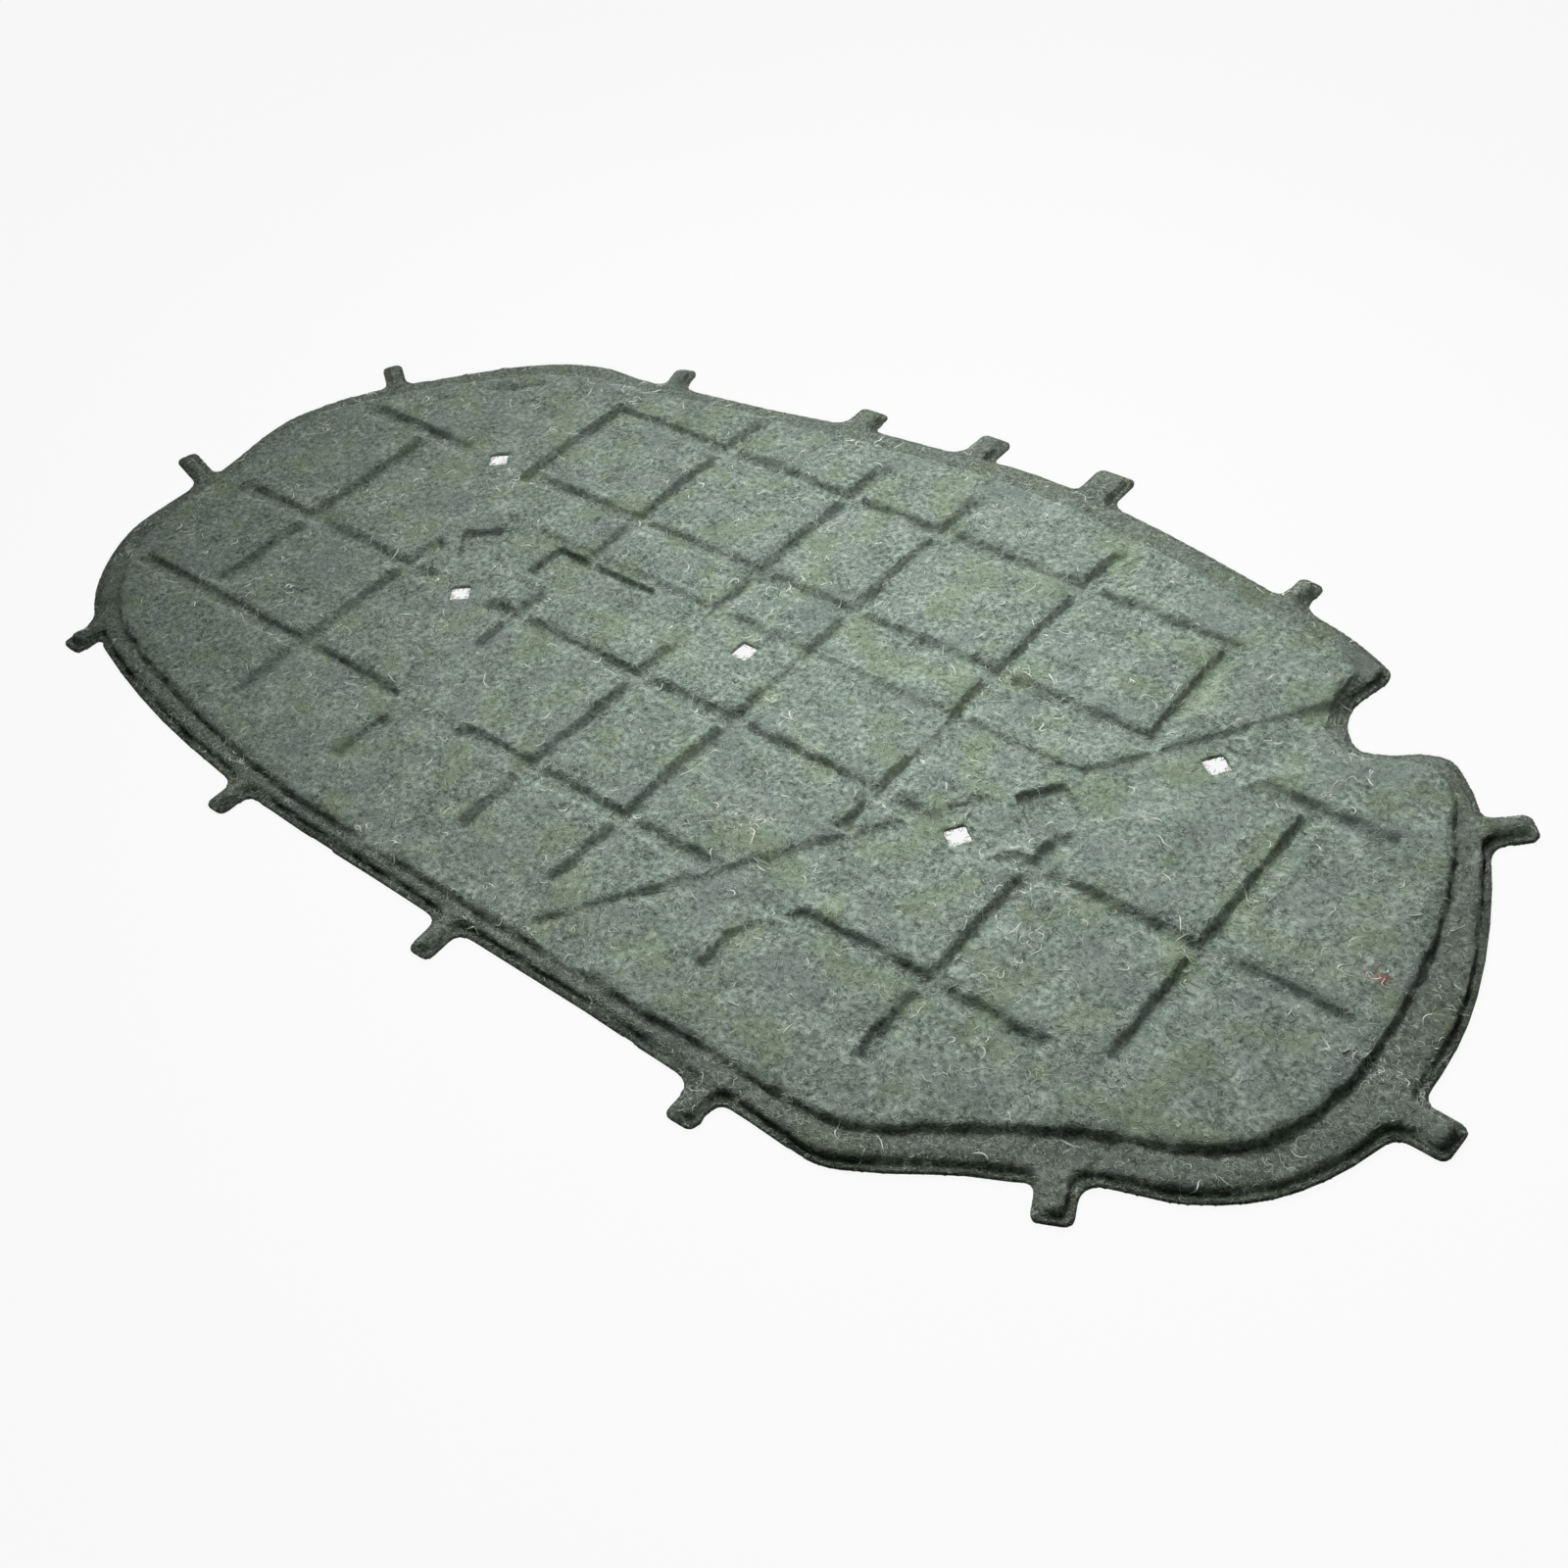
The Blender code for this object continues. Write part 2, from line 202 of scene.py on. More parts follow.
# Fibres that fringe the clip holes: where they start, their lengths and heights, and their stray
FRINGE_COUNT = 46
FRINGE_START = (8.5 * MM, 12.5 * MM)
FRINGE_LENGTH = (2.5 * MM, 6.0 * MM)
FRINGE_LEVEL = (8.2 * MM, 11.0 * MM)
FRINGE_STRAY = 0.7
FRINGE_BEND = 0.9
FRINGE_SEED = 41

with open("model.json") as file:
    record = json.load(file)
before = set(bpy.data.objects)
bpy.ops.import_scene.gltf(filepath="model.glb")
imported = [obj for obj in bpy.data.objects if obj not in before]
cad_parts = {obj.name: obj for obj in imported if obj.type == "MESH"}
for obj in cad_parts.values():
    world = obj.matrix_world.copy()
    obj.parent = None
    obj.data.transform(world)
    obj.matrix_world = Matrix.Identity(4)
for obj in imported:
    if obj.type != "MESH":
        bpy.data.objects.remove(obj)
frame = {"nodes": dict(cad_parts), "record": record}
cad_low, cad_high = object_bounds()
clip_spots = [
    Vector([(low + high) / 2 for low, high in zip(*opening["box_m"])]).xy
    for opening in frame["record"]["physics"]["openings"]
]


def only(piece):
    """Makes one piece the selected and active one."""
    bpy.ops.object.select_all(action="DESELECT")
    piece.select_set(True)
    bpy.context.view_layer.objects.active = piece


def apply_modifier(piece, kind, **settings):
    """Adds a modifier with these settings and applies it."""
    only(piece)
    step = piece.modifiers.new(kind.lower(), kind)
    for name, value in settings.items():
        setattr(step, name, value)
    bpy.ops.object.modifier_apply(modifier=step.name)


def put(name, data):
    """A new object in the scene that holds this mesh, curve, lamp or camera."""
    piece = bpy.data.objects.new(name, data)
    bpy.context.scene.collection.objects.link(piece)
    return piece


def vertex_places(piece):
    """The mesh's vertices as an array of x, y and z."""
    flat = np.empty(len(piece.data.vertices) * 3, np.float32)
    piece.data.vertices.foreach_get("co", flat)
    return flat.reshape(-1, 3)


def move_vertices(piece, places):
    """Puts the mesh's vertices at these places."""
    piece.data.vertices.foreach_set("co", places.ravel())
    piece.data.update()


def select_faces(piece, wanted):
    """Selects, in face mode, the faces whose numbers are in the mask."""
    bpy.ops.object.mode_set(mode="EDIT")
    bpy.ops.mesh.select_mode(type="FACE")
    bpy.ops.mesh.select_all(action="DESELECT")
    bpy.ops.object.mode_set(mode="OBJECT")
    piece.data.polygons.foreach_set("select", wanted)
    bpy.ops.object.mode_set(mode="EDIT")


def mark_vertices(piece, name, weights):
    """A vertex group with one weight per vertex, rounded so that equal ones go in together."""
    group = piece.vertex_groups.new(name=name)
    steps = np.round(np.clip(weights, 0.0, 1.0) * WEIGHT_STEPS) / WEIGHT_STEPS
    for level in np.unique(steps):
        members = np.nonzero(steps == level)[0].tolist()
        group.add(members, float(level), "REPLACE")
    return group.name


def felt_panel():
    """The pad as felt: an even mesh on the CAD form, softened steps and a lumpy pressed side."""
    form = frame["nodes"]["insulation_pad"]
    panel = put("felt_panel", form.data.copy())
    only(panel)
    bpy.ops.object.mode_set(mode="EDIT")
    bpy.ops.mesh.select_all(action="SELECT")
    bpy.ops.mesh.remove_doubles(threshold=CAD_WELD)
    bpy.ops.object.mode_set(mode="OBJECT")
    apply_modifier(panel, "REMESH", mode="VOXEL", voxel_size=MESH_STEP, use_smooth_shade=True)
    apply_modifier(panel, "SHRINKWRAP", target=form, wrap_method="NEAREST_SURFACEPOINT")
    open_back(panel)
    loose = mark_vertices(panel, "loose_felt", looseness(panel))
    apply_modifier(
        panel, "SMOOTH", factor=SOFTENING_PULL, iterations=FELT_SOFTENING, vertex_group=loose,
    )
    spring_into_holes(panel)
    waver_steps(panel)
    raise_lumps(panel)
    apply_modifier(panel, "DECIMATE", ratio=MESH_KEPT)
    close_back(panel)
    note_pressed_height(panel, form)
    bpy.ops.object.shade_smooth()
    return panel


def clear_of_clip(places, spot):
    """How far each vertex is clear of a clip hole: 0 beside it and 1 beyond its blend."""
    away = np.hypot(places[:, 0] - spot.x, places[:, 1] - spot.y)
    return np.clip((away - CLIP_REACH) / CLIP_BLEND, 0.0, 1.0)


def looseness(panel):
    """How freely each vertex may move: not on the thin rim or by a clip hole, fully on the body."""
    places = vertex_places(panel)
    free = np.clip((places[:, 2] - CRISP_HEIGHT) / (LOOSE_HEIGHT - CRISP_HEIGHT), 0.0, 1.0)
    for spot in clip_spots:
        free *= clear_of_clip(places, spot)
    return free


def spring_into_holes(panel):
    """Lets the punched edges of the clip holes close in a little, as cut felt does."""
    places = vertex_places(panel)
    for spot in clip_spots:
        keep = LIP_SHARE + (1.0 - LIP_SHARE) * clear_of_clip(places, spot)
        places[:, 0] = spot.x + (places[:, 0] - spot.x) * keep
        places[:, 1] = spot.y + (places[:, 1] - spot.y) * keep
    move_vertices(panel, places)


def cloud_texture(name, size):
    """Soft clouds of one size, for modifiers that move the felt."""
    clouds = bpy.data.textures.new(name, "CLOUDS")
    clouds.noise_scale = size
    clouds.noise_depth = 1
    return clouds


def waver_steps(panel):
    """Slides the steps and grooves a little sideways, so that none runs dead straight."""
    for axis in ("X", "Y"):
        loose = mark_vertices(panel, f"waver_{axis}", looseness(panel))
        apply_modifier(
            panel, "DISPLACE", texture=cloud_texture(f"waver_{axis}", WAVER_SIZE),
            texture_coords="LOCAL", direction=axis, strength=WAVER_SHIFT, mid_level=0.5,
            vertex_group=loose,
        )


def note_pressed_height(panel, form):
    """Stores at each vertex how high the press left the felt, read from the CAD form."""
    surface = surface_under(form)
    heights = []
    for x, y, z in vertex_places(panel):
        place = surface(x, y)
        heights.append(z if place is None else place.z)
    noted = panel.data.attributes.new("pressed_height", "FLOAT", "POINT")
    noted.data.foreach_set("value", np.array(heights, np.float32))


def open_back(panel):
    """Levels the hidden back and takes its many small faces away."""
    places = vertex_places(panel)
    places[:, 2] = np.where(places[:, 2] < BACK_TOP, 0.0, places[:, 2])
    move_vertices(panel, places)
    low = places[:, 2] <= 0.0
    on_back = [all(low[v] for v in face.vertices) for face in panel.data.polygons]
    only(panel)
    select_faces(panel, on_back)
    bpy.ops.mesh.delete(type="FACE")
    bpy.ops.mesh.select_all(action="SELECT")
    bpy.ops.mesh.delete_loose()
    bpy.ops.object.mode_set(mode="OBJECT")


def close_back(panel):
    """Fills the flat back in again with a few large faces."""
    only(panel)
    bpy.ops.object.mode_set(mode="EDIT")
    bpy.ops.mesh.select_mode(type="EDGE")
    bpy.ops.mesh.select_all(action="DESELECT")
    bpy.ops.mesh.select_non_manifold()
    bpy.ops.mesh.fill(use_beauty=False)
    bpy.ops.mesh.select_all(action="SELECT")
    bpy.ops.mesh.normals_make_consistent(inside=False)
    bpy.ops.object.mode_set(mode="OBJECT")


def raise_lumps(panel):
    """Lets the pressed side swell and sink a little, as felt does, at three sizes."""
    for number, (size, height) in enumerate(LUMPS):
        swelling = mark_vertices(panel, f"swelling_{number}", looseness(panel))
        apply_modifier(
            panel, "DISPLACE", texture=cloud_texture(f"lumps_{number}", size),
            texture_coords="LOCAL", strength=height, mid_level=0.5, vertex_group=swelling,
        )


def surface_under(piece):
    """A finder of the piece's upper surface: give it x and y, and it gives the point or None."""
    shape = bmesh.new()
    shape.from_mesh(piece.data)
    tree = BVHTree.FromBMesh(shape)
    shape.free()
    down = Vector((0.0, 0.0, -1.0))

    def find(x, y):
        return tree.ray_cast(Vector((x, y, FINDING_HEIGHT)), down)[0]

    return find


def fibre_path(find, chance, start, lengths):
    """Points of one curled fibre that lies on the panel, or None where it would leave it."""
    x, y = start
    heading = chance.uniform(0.0, 2 * math.pi)
    length = chance.uniform(*lengths) * chance.uniform(FIBRE_SHORTEST, 1.0)
    bend = chance.gauss(0.0, 1.0) * FIBRE_BEND
    wave = chance.gauss(0.0, FIBRE_WAVE)
    step = length / (FIBRE_POINTS - 1)
    points = []
    for number in range(FIBRE_POINTS):
        place = find(x, y)
        if place is None:
            return None
        points.append(place.copy())
        share = number / (FIBRE_POINTS - 1)
        turn = heading + bend * share * share + wave * math.sin(2 * math.pi * share)
        x += step * math.cos(turn)
        y += step * math.sin(turn)
    drop = max(abs(a.z - b.z) for a, b in zip(points, points[1:]))
    return points if drop < STEEPEST_FALL * step else None


def scattered_starts(chance):
    """Endless starting places for fibres: some anywhere on the pad, some gathered in patches."""
    patches = [
        (chance.uniform(cad_low.x, cad_high.x), chance.uniform(cad_low.y, cad_high.y))
        for _ in range(GATHERING_COUNT)
    ]
    while True:
        if chance.random() < GATHERED_SHARE:
            x, y = chance.choice(patches)
            yield chance.gauss(x, GATHERING_RADIUS), chance.gauss(y, GATHERING_RADIUS)
        else:
            yield chance.uniform(cad_low.x, cad_high.x), chance.uniform(cad_low.y, cad_high.y)


def scattered_paths(find, count, lengths, seed):
    """The paths of one layer of fibres strewn over the pad."""
    chance = random.Random(seed)
    starts = scattered_starts(chance)
    paths = []
    while len(paths) < count:
        points = fibre_path(find, chance, next(starts), lengths)
        if points:
            paths.append(points)
    return paths


def tuft_paths(find, family, seed):
    """The paths of all the small tufts of one colour family."""
    chance = random.Random(seed)
    paths = []
    for x, y, count, radius, colour_family in TUFTS:
        if colour_family != family:
            continue
        for _ in range(count):
            start = (chance.gauss(x, radius / 2), chance.gauss(y, radius / 2))
            points = fibre_path(find, chance, start, TUFT_LENGTHS)
            if points:
                paths.append(points)
    return paths


def fibre_profile():
    """A three-sided section of unit radius for the loose fibres."""
    curve = bpy.data.curves.new("fibre_section", "CURVE")
    curve.dimensions = "2D"
    spline = curve.splines.new("POLY")
    spline.points.add(FIBRE_CORNERS - 1)
    for corner, slot in enumerate(spline.points):
        turn = 2 * math.pi * corner / FIBRE_CORNERS
        slot.co = (math.cos(turn), math.sin(turn), 0.0, 1.0)
    spline.use_cyclic_u = True
    return put("fibre_section", curve)


def fringe_paths(seed):
    """The paths of short fibres that stick out over the edges of the clip holes."""
    chance = random.Random(seed)
    paths = []
    for spot in clip_spots:
        for _ in range(FRINGE_COUNT):
            turn = chance.uniform(0.0, 2 * math.pi)
            reach = chance.uniform(*FRINGE_START)
            level = chance.uniform(*FRINGE_LEVEL)
            x = spot.x + reach * math.cos(turn)
            y = spot.y + reach * math.sin(turn)
            heading = turn + math.pi + chance.gauss(0.0, FRINGE_STRAY)
            bend = chance.gauss(0.0, FRINGE_BEND)
            step = chance.uniform(*FRINGE_LENGTH) / (FIBRE_POINTS - 1)
            points = []
            for number in range(FIBRE_POINTS):
                points.append(Vector((x, y, level)))
                swing = heading + bend * number / (FIBRE_POINTS - 1)
                x += step * math.cos(swing)
                y += step * math.sin(swing)
            paths.append(points)
    return paths


def loose_fibres(name, paths, thickness, seed):
    """A layer of thin curled fibres lying on the panel, as one mesh."""
    chance = random.Random(seed)
    section = fibre_profile()
    section.scale = (thickness / 2,) * 3
    curve = bpy.data.curves.new(name, "CURVE")
    curve.dimensions = "3D"
    curve.bevel_mode = "OBJECT"
    curve.bevel_object = section
    curve.use_fill_caps = True
    for points in paths:
        spline = curve.splines.new("POLY")
        spline.points.add(len(points) - 1)
        lift = chance.uniform(*FIBRE_LIFT) * thickness
        stoutness = chance.uniform(*FIBRE_STOUTNESS)
        for number, (slot, point) in enumerate(zip(spline.points, points)):
            share = number / (len(points) - 1)
            swell = math.sin(math.pi * share)
            slot.co = (point.x, point.y, point.z + lift, 1.0)
            slot.radius = stoutness * (FIBRE_TIP + (1.0 - FIBRE_TIP) * swell)
    fibres = put(name, curve)
    only(fibres)
    bpy.ops.object.convert(target="MESH")
    bpy.data.objects.remove(section, do_unlink=True)
    bpy.ops.object.mode_set(mode="EDIT")
    bpy.ops.mesh.select_all(action="SELECT")
    bpy.ops.mesh.remove_doubles(threshold=FIBRE_WELD)
    bpy.ops.mesh.normals_make_consistent(inside=False)
    bpy.ops.object.mode_set(mode="OBJECT")
    bpy.ops.object.shade_smooth()
    return fibres


def set_camera():
    """The camera at the photograph's place, turned as it was."""
    sin, cos = math.sin, math.cos
    level_share = cos(CAMERA_HEIGHT)
    back = Vector((
        sin(CAMERA_TURN) * level_share,
        -cos(CAMERA_TURN) * level_share,
        sin(CAMERA_HEIGHT),
    ))
    level = Vector((0.0, 0.0, 1.0)).cross(back).normalized()
    upright = back.cross(level)
    right = cos(CAMERA_ROLL) * level + sin(CAMERA_ROLL) * upright
    up = cos(CAMERA_ROLL) * upright - sin(CAMERA_ROLL) * level
    lens = bpy.data.cameras.new("camera")
    lens.lens = CAMERA_LENS
    lens.sensor_width = CAMERA_SENSOR
    lens.clip_start = 0.01
    camera = put("camera", lens)
    turned = Matrix((right, up, back)).transposed().to_4x4()
    camera.matrix_world = Matrix.Translation(CAMERA_SPOT) @ turned
    bpy.context.scene.camera = camera


def area_lamp(name, spot, side, power, spread=math.pi):
    """A square lamp that looks at the lit middle of the pad."""
    lamp = bpy.data.lights.new(name, "AREA")
    lamp.size = side
    lamp.energy = power
    lamp.spread = spread
    holder = put(name, lamp)
    holder.location = spot
    holder.rotation_mode = "QUATERNION"
    holder.rotation_quaternion = (Vector(LIT_SPOT) - Vector(spot)).to_track_quat("-Z", "Y")


def set_studio():
    """Two lamps, a white floor and a dim white room."""
    area_lamp("key_lamp", KEY_SPOT, KEY_SIDE, KEY_POWER, KEY_SPREAD)
    area_lamp("top_lamp", TOP_SPOT, TOP_SIDE, TOP_POWER)
    bpy.context.scene.view_settings.view_transform = "Standard"
    floor_sheet()
    room_light()


def add(tree, kind, x, y, **settings):
    """A node at a place in the editor, with its own settings and the defaults of its sockets."""
    node = tree.nodes.new(kind)
    node.location = (x, y)
    for name, value in settings.items():
        if name in node.bl_rna.properties:
            setattr(node, name, value)
        else:
            node.inputs[name].default_value = value
    return node


def floor_sheet():
    """White paper under the pad, which keeps its shadow. Only the camera sees the paper glow."""
    bpy.ops.object.select_all(action="DESELECT")
    bpy.ops.mesh.primitive_plane_add(size=FLOOR_SIDE, location=(0.0, 0.0, -FLOOR_DROP))
    sheet = bpy.context.active_object
    sheet.name = "floor"
    paper = bpy.data.materials.new("white_paper")
    paper.use_nodes = True
    tree = paper.node_tree
    link = tree.links.new
    tree.nodes.clear()
    surface = add(tree, "ShaderNodeBsdfDiffuse", 0, 0, Color=(*FLOOR_COLOUR, 1.0))
    glow = add(tree, "ShaderNodeEmission", 0, -150, Color=WHITE, Strength=1.0)
    ray = add(tree, "ShaderNodeLightPath", -400, 300)
    seen = add(tree, "ShaderNodeMath", -200, 200, operation="MULTIPLY")
    seen.inputs[1].default_value = FLOOR_GLOW_SHARE
    blend = add(tree, "ShaderNodeMixShader", 250, 0)
    out = add(tree, "ShaderNodeOutputMaterial", 450, 0)
    link(ray.outputs["Is Camera Ray"], seen.inputs[0])
    link(seen.outputs[0], blend.inputs[0])
    link(surface.outputs[0], blend.inputs[1])
    link(glow.outputs[0], blend.inputs[2])
    link(blend.outputs[0], out.inputs["Surface"])
    sheet.data.materials.append(paper)


def room_light():
    """A dim even room for the object, which the camera sees as white."""
    room = bpy.data.worlds.new("white_room")
    bpy.context.scene.world = room
    room.use_nodes = True
    tree = room.node_tree
    link = tree.links.new
    tree.nodes.clear()
    dim = add(tree, "ShaderNodeBackground", 0, 0, Color=WHITE, Strength=WORLD_LEVEL)
    white = add(tree, "ShaderNodeBackground", 0, -150, Color=WHITE, Strength=1.0)
    ray = add(tree, "ShaderNodeLightPath", -250, 250)
    blend = add(tree, "ShaderNodeMixShader", 250, 0)
    out = add(tree, "ShaderNodeOutputWorld", 450, 0)
    link(ray.outputs["Is Camera Ray"], blend.inputs[0])
    link(dim.outputs[0], blend.inputs[1])
    link(white.outputs[0], blend.inputs[2])
    link(blend.outputs[0], out.inputs["Surface"])


def new_group(name, inputs, output):
    """An empty node group with named sockets, and its input and output nodes."""
    group = bpy.data.node_groups.new(name, "ShaderNodeTree")
    for label, kind in inputs:
        group.interface.new_socket(label, in_out="INPUT", socket_type=kind)
    group.interface.new_socket(output, in_out="OUTPUT", socket_type="NodeSocketFloat")
    entry = add(group, "NodeGroupInput", -1200, 0)
    leave = add(group, "NodeGroupOutput", 1200, 0)
    return group, entry, leave


def stretched(tree, level, low, high, x, y):
    """A level stretched so that low gives 0 and high gives 1."""
    node = add(tree, "ShaderNodeMapRange", x, y)
    node.inputs["From Min"].default_value = low
    node.inputs["From Max"].default_value = high
    tree.links.new(level, node.inputs["Value"])
    return node.outputs["Result"]


def fibre_line_group():
    """Thin curled lines, broken into short stretches: the look of fibres pressed into felt."""
    group, entry, leave = new_group(
        "fibre_lines",
        [
            ("Vector", "NodeSocketVector"),
            ("Shift", "NodeSocketVector"),
            ("Lines Per Metre", "NodeSocketFloat"),
            ("Line Width", "NodeSocketFloat"),
            ("Curl", "NodeSocketFloat"),
            ("Bare Share", "NodeSocketFloat"),
        ],
        "Mask",
    )
    link = group.links.new
    shifted = add(group, "ShaderNodeVectorMath", -1000, 0, operation="ADD")
    link(entry.outputs["Vector"], shifted.inputs[0])
    link(entry.outputs["Shift"], shifted.inputs[1])
    warp = add(group, "ShaderNodeTexNoise", -800, 0, noise_dimensions="2D", Detail=0.0)
    link(shifted.outputs[0], warp.inputs["Vector"])
    link(entry.outputs["Lines Per Metre"], warp.inputs["Scale"])
    pushed = add(group, "ShaderNodeVectorMath", -600, 0, operation="SCALE")
    link(warp.outputs["Color"], pushed.inputs[0])
    link(entry.outputs["Curl"], pushed.inputs["Scale"])
    moved = add(group, "ShaderNodeVectorMath", -400, 0, operation="ADD")
    link(shifted.outputs[0], moved.inputs[0])
    link(pushed.outputs[0], moved.inputs[1])
    cells = add(
        group, "ShaderNodeTexVoronoi", -200, 0,
        voronoi_dimensions="2D", feature="DISTANCE_TO_EDGE",
    )
    link(moved.outputs[0], cells.inputs["Vector"])
    link(entry.outputs["Lines Per Metre"], cells.inputs["Scale"])
    line = add(group, "ShaderNodeMapRange", 100, 0)
    line.inputs["To Min"].default_value = 1.0
    line.inputs["To Max"].default_value = 0.0
    link(cells.outputs["Distance"], line.inputs["Value"])
    link(entry.outputs["Line Width"], line.inputs["From Max"])
    separate = add(group, "ShaderNodeSeparateColor", -600, -300)
    link(warp.outputs["Color"], separate.inputs["Color"])
    fade = add(group, "ShaderNodeMath", -200, -300, operation="SUBTRACT")
    link(separate.outputs["Blue"], fade.inputs[0])
    link(entry.outputs["Bare Share"], fade.inputs[1])
    cover = stretched(group, fade.outputs[0], 0.0, FIBRE_FADE, 100, -300)
    mask = add(group, "ShaderNodeMath", 500, 0, operation="MULTIPLY")
    link(line.outputs["Result"], mask.inputs[0])
    link(cover, mask.inputs[1])
    link(mask.outputs[0], leave.inputs["Mask"])
    return group


def place_group(tree, group, x, y, **values):
    """The group as a node, with values set by the sockets' names, underscores for spaces."""
    node = tree.nodes.new("ShaderNodeGroup")
    node.node_tree = group
    node.location = (x, y)
    for name, value in values.items():
        node.inputs[name.replace("_", " ").title()].default_value = value
    return node


def tint(tree, below, colour, mask, strength, x, y):
    """A layer of colour over what is below, where the mask is, and its colour output."""
    link = tree.links.new
    share = add(tree, "ShaderNodeMath", x - 180, y - 120, operation="MULTIPLY")
    share.inputs[1].default_value = strength
    link(mask, share.inputs[0])
    mix = add(tree, "ShaderNodeMix", x, y, data_type="RGBA")
    mix.inputs[MIX_OVER].default_value = (*colour, 1.0)
    link(share.outputs[0], mix.inputs[MIX_SHARE])
    link(below, mix.inputs[MIX_BELOW])
    return mix.outputs[MIX_COLOUR]


def leaned_place(tree):
    """Object coordinates that lean with height, so that flat patterns run on down the walls."""
    link = tree.links.new
    coords = add(tree, "ShaderNodeTexCoord", -2000, 0)
    axes = add(tree, "ShaderNodeSeparateXYZ", -1800, 0)
    link(coords.outputs["Object"], axes.inputs[0])
    joined = add(tree, "ShaderNodeCombineXYZ", -1400, 0)
    for axis, lean in WALL_LEAN.items():
        slide = add(tree, "ShaderNodeMath", -1600, 0, operation="MULTIPLY_ADD")
        slide.inputs[1].default_value = lean
        link(axes.outputs["Z"], slide.inputs[0])
        link(axes.outputs[axis], slide.inputs[2])
        link(slide.outputs[0], joined.inputs[axis])
    return joined.outputs[0]


def flat_noise(tree, where, x, y, settings):
    """The level of a flat noise over the felt."""
    node = add(tree, "ShaderNodeTexNoise", x, y, noise_dimensions="2D", **settings)
    tree.links.new(where, node.inputs["Vector"])
    return node.outputs["Fac"]


def felt_grain(tree, where, fine):
    """The felt's own colour: a fine grain on broad clouds, from dark hollows to light fibres."""
    link = tree.links.new
    broad = flat_noise(tree, where, -1200, 200, BROAD_GRAIN)
    grain = add(tree, "ShaderNodeMath", -950, 400, operation="MULTIPLY_ADD")
    grain.inputs[1].default_value = BROAD_SHARE
    link(broad, grain.inputs[0])
    link(fine, grain.inputs[2])
    ramp = add(tree, "ShaderNodeValToRGB", -600, 400)
    tones = ramp.color_ramp.elements
    tones[0].color = (*FELT_DARK, 1.0)
    tones[1].color = (*FELT_LIGHT, 1.0)
    middle = tones.new(0.5)
    middle.color = (*FELT_MID, 1.0)
    link(stretched(tree, grain.outputs[0], *GRAIN_RANGE, -780, 400), ramp.inputs["Fac"])
    return ramp.outputs["Color"]


def hue_patches(tree, where, colour):
    """Olive and grey patches over the felt's colour."""
    hue = flat_noise(tree, where, -1200, -100, HUE_CLOUDS)
    for number, (tone, start, full) in enumerate(HUE_PATCHES):
        patch = stretched(tree, hue, start, full, -950, -100 - 200 * number)
        colour = tint(tree, colour, tone, patch, PATCH_STRENGTH, -420 + 160 * number, 650)
    return colour


def pressed_and_painted_shade(tree, colour):
    """Painted shade on the low felt, partly darker felt where the press left it thin, by the height
    the vertices hold.
    """
    link = tree.links.new
    height = add(tree, "ShaderNodeAttribute", -1200, 900, attribute_name="pressed_height")
    share = add(tree, "ShaderNodeMath", -1000, 900, operation="DIVIDE")
    share.inputs[1].default_value = PAD_THICKNESS
    link(height.outputs["Fac"], share.inputs[0])
    # Painted shade, partly pressed felt: darkest on the rim, then the shelf, faint on the groove
    # floors
    press_and_shade_ramp = add(tree, "ShaderNodeValToRGB", -800, 900)
    stops = press_and_shade_ramp.color_ramp.elements
    while len(stops) < len(PRESSED_AND_SHADE_TINTS):
        stops.new(0.5)
    for stop, (level, strength) in zip(stops, PRESSED_AND_SHADE_TINTS):
        stop.position = level / PAD_THICKNESS
        stop.color = (strength, strength, strength, 1.0)
    link(share.outputs[0], press_and_shade_ramp.inputs["Fac"])
    return tint(tree, colour, FELT_PRESSED_AND_SHADED, press_and_shade_ramp.outputs["Color"], 1.0, -80, 650)


def pressed_fibres(tree, where, colour):
    """Layers of fibres pressed into the felt: its colour, and each layer's mask with its height."""
    lines = fibre_line_group()
    raised = []
    for number, (tone, cell, width, curl, bare, strength, height) in enumerate(PRESSED_FIBRES):
        node = place_group(
            tree, lines, -700, -200 - 260 * number,
            shift=(number * LAYER_SHIFT[0], number * LAYER_SHIFT[1], 0.0),
            lines_per_metre=1.0 / cell, line_width=width, curl=curl, bare_share=bare,
        )
        tree.links.new(where, node.inputs["Vector"])
        mask = node.outputs["Mask"]
        colour = tint(tree, colour, tone, mask, strength, 120 + 220 * number, 400)
        raised.append((mask, height))
    return colour, raised


def felt_relief(tree, raised):
    """Normals of the felt's finest relief, from masks that each have a height."""
    link = tree.links.new
    total = None
    for number, (mask, height) in enumerate(raised):
        part = add(tree, "ShaderNodeMath", -100 + 200 * number, -500, operation="MULTIPLY_ADD")
        part.inputs[1].default_value = height
        link(mask, part.inputs[0])
        if total is not None:
            link(total, part.inputs[2])
        total = part.outputs[0]
    bump = add(tree, "ShaderNodeBump", 1250, -300, Strength=1.0, Distance=RELIEF_DEPTH)
    link(total, bump.inputs["Height"])
    return bump.outputs["Normal"]


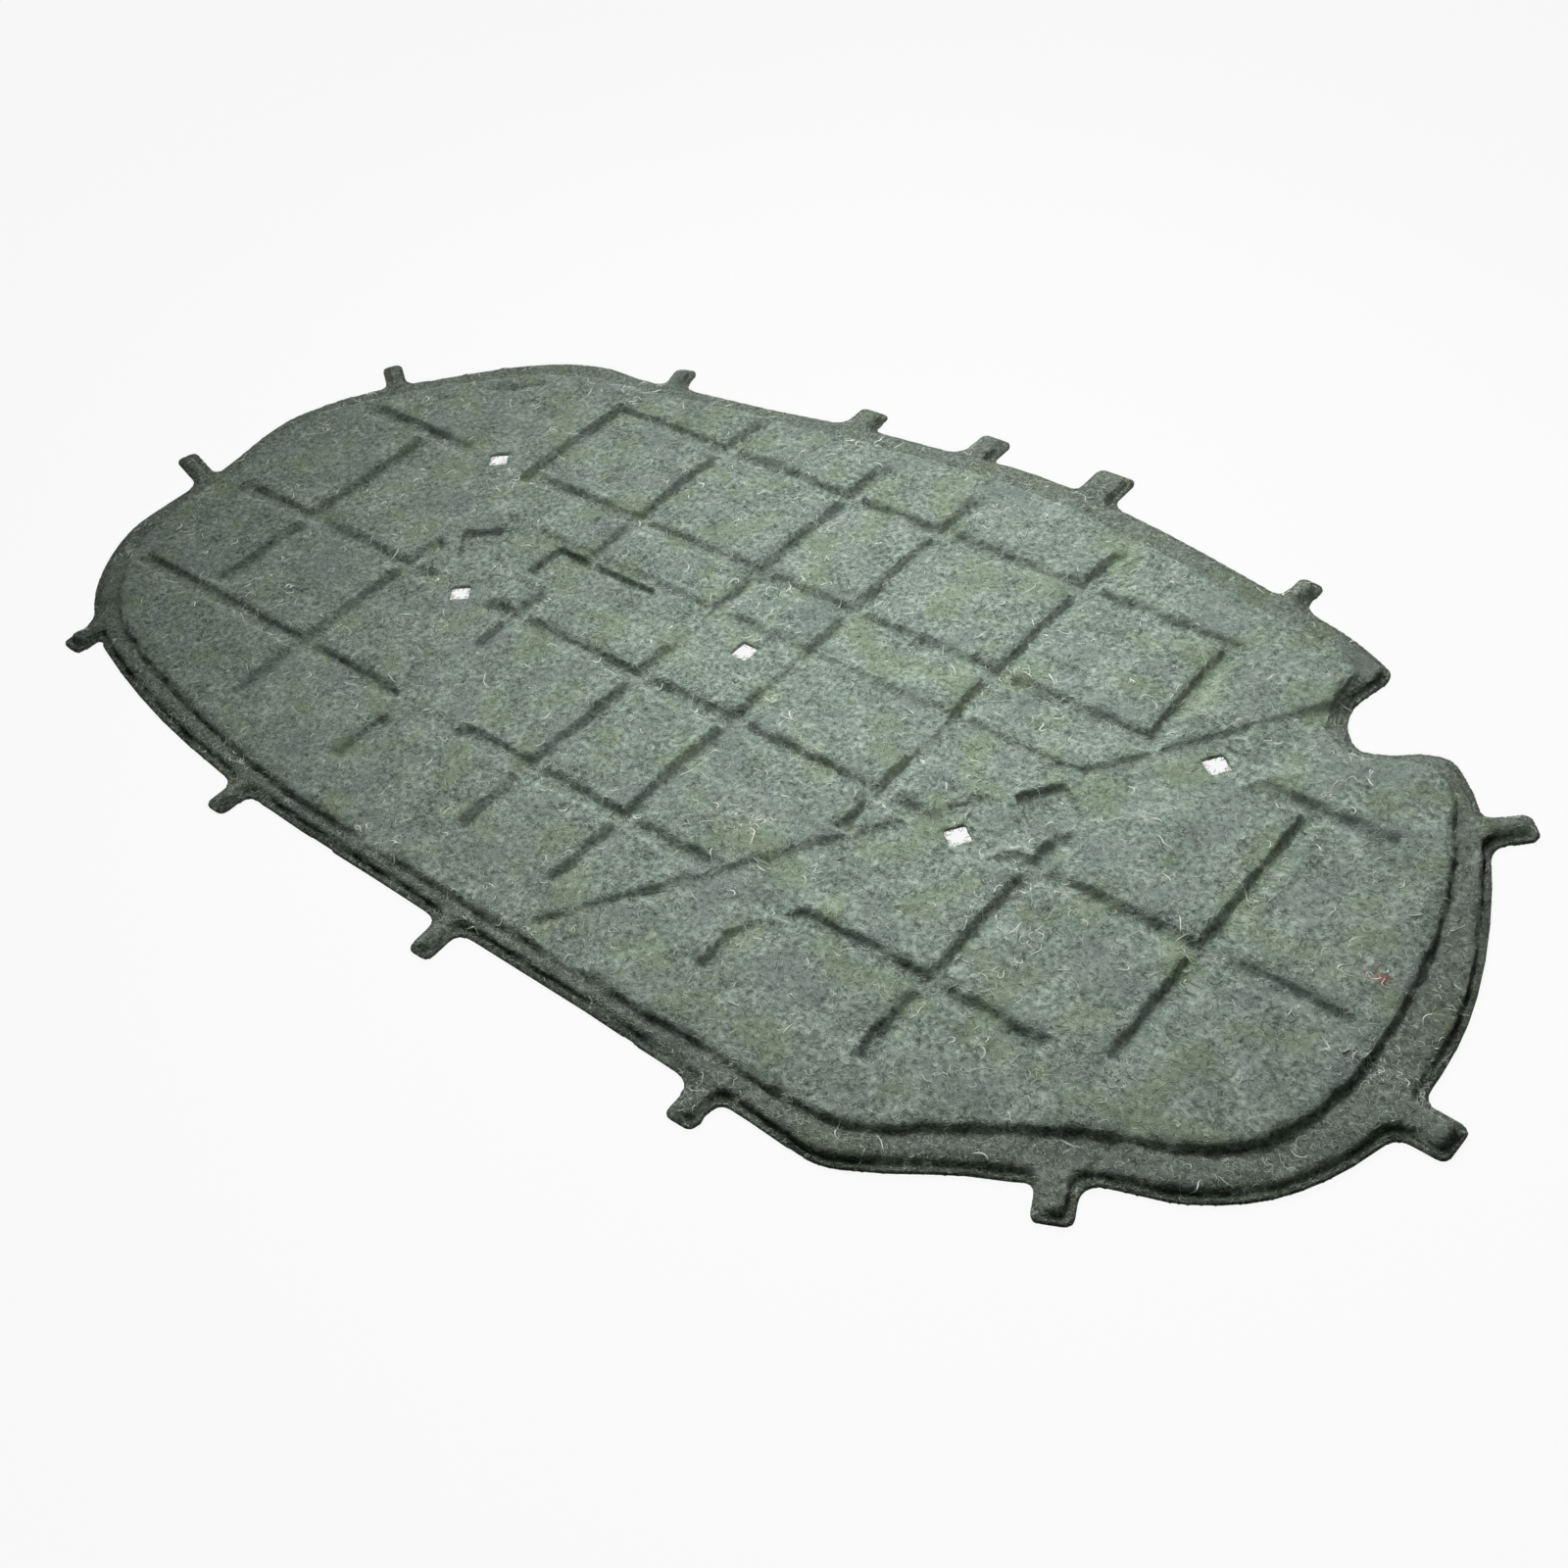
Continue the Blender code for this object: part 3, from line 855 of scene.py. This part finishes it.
def felt_material():
    """Moulded shoddy felt, darker low down by painted shade and by pressing, with fibres pressed
    into it.
    """
    felt = bpy.data.materials.new("shoddy_felt")
    felt.use_nodes = True
    tree = felt.node_tree
    shader = tree.nodes["Principled BSDF"]
    shader.location = (1500, 0)
    shader.inputs["Roughness"].default_value = FELT_ROUGHNESS
    shader.inputs["Specular IOR Level"].default_value = FELT_GLOSS
    where = leaned_place(tree)
    fine = flat_noise(tree, where, -1200, 500, FINE_GRAIN)
    colour = felt_grain(tree, where, fine)
    colour = hue_patches(tree, where, colour)
    colour = pressed_and_painted_shade(tree, colour)
    colour, raised = pressed_fibres(tree, where, colour)
    normal = felt_relief(tree, [(fine, GRAIN_HEIGHT), *raised])
    tree.links.new(normal, shader.inputs["Normal"])
    tree.links.new(colour, shader.inputs["Base Color"])
    return felt


def fibre_material(name, dull, bright):
    """One colour family of loose fibre, which drifts between two tones."""
    strand = bpy.data.materials.new(name)
    strand.use_nodes = True
    tree = strand.node_tree
    link = tree.links.new
    shader = tree.nodes["Principled BSDF"]
    shader.inputs["Roughness"].default_value = STRAND_ROUGHNESS
    shader.inputs["Specular IOR Level"].default_value = STRAND_GLOSS
    coords = add(tree, "ShaderNodeTexCoord", -800, 0)
    drift = add(tree, "ShaderNodeTexNoise", -600, 0, **STRAND_DRIFT)
    ramp = add(tree, "ShaderNodeValToRGB", -400, 0)
    for stop, position, tone in zip(ramp.color_ramp.elements, STRAND_TONES, (dull, bright)):
        stop.position = position
        stop.color = (*tone, 1.0)
    link(coords.outputs["Object"], drift.inputs["Vector"])
    link(drift.outputs["Fac"], ramp.inputs["Fac"])
    link(ramp.outputs["Color"], shader.inputs["Base Color"])
    return strand


def dress(piece, material):
    """Gives a finished piece its material and its body."""
    piece.data.materials.clear()
    piece.data.materials.append(material)
    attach(piece, "root")


def build_pad():
    """The felt panel in place of its CAD form, with its loose fibres, fringe and tufts."""
    panel = felt_panel()
    dress(panel, felt_material())
    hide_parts("insulation_pad")
    find = surface_under(panel)
    for name, count, lengths, thickness, dull, bright, seed in LOOSE_FIBRES:
        paths = scattered_paths(find, count, lengths, seed)
        fibres = loose_fibres(name, paths, thickness, seed)
        dress(fibres, fibre_material(name, dull, bright))
    fringe = loose_fibres("hole_fringe", fringe_paths(FRINGE_SEED), TUFT_THICKNESS, FRINGE_SEED)
    dress(fringe, fibre_material("hole_fringe", FELT_MID, FIBRE_PALE))
    for seed, (name, (dull, bright)) in enumerate(TUFT_COLOURS.items()):
        tufts = loose_fibres(name, tuft_paths(find, name, seed), TUFT_THICKNESS, seed)
        dress(tufts, fibre_material(name, dull, bright))


build_pad()
set_studio()
set_camera()
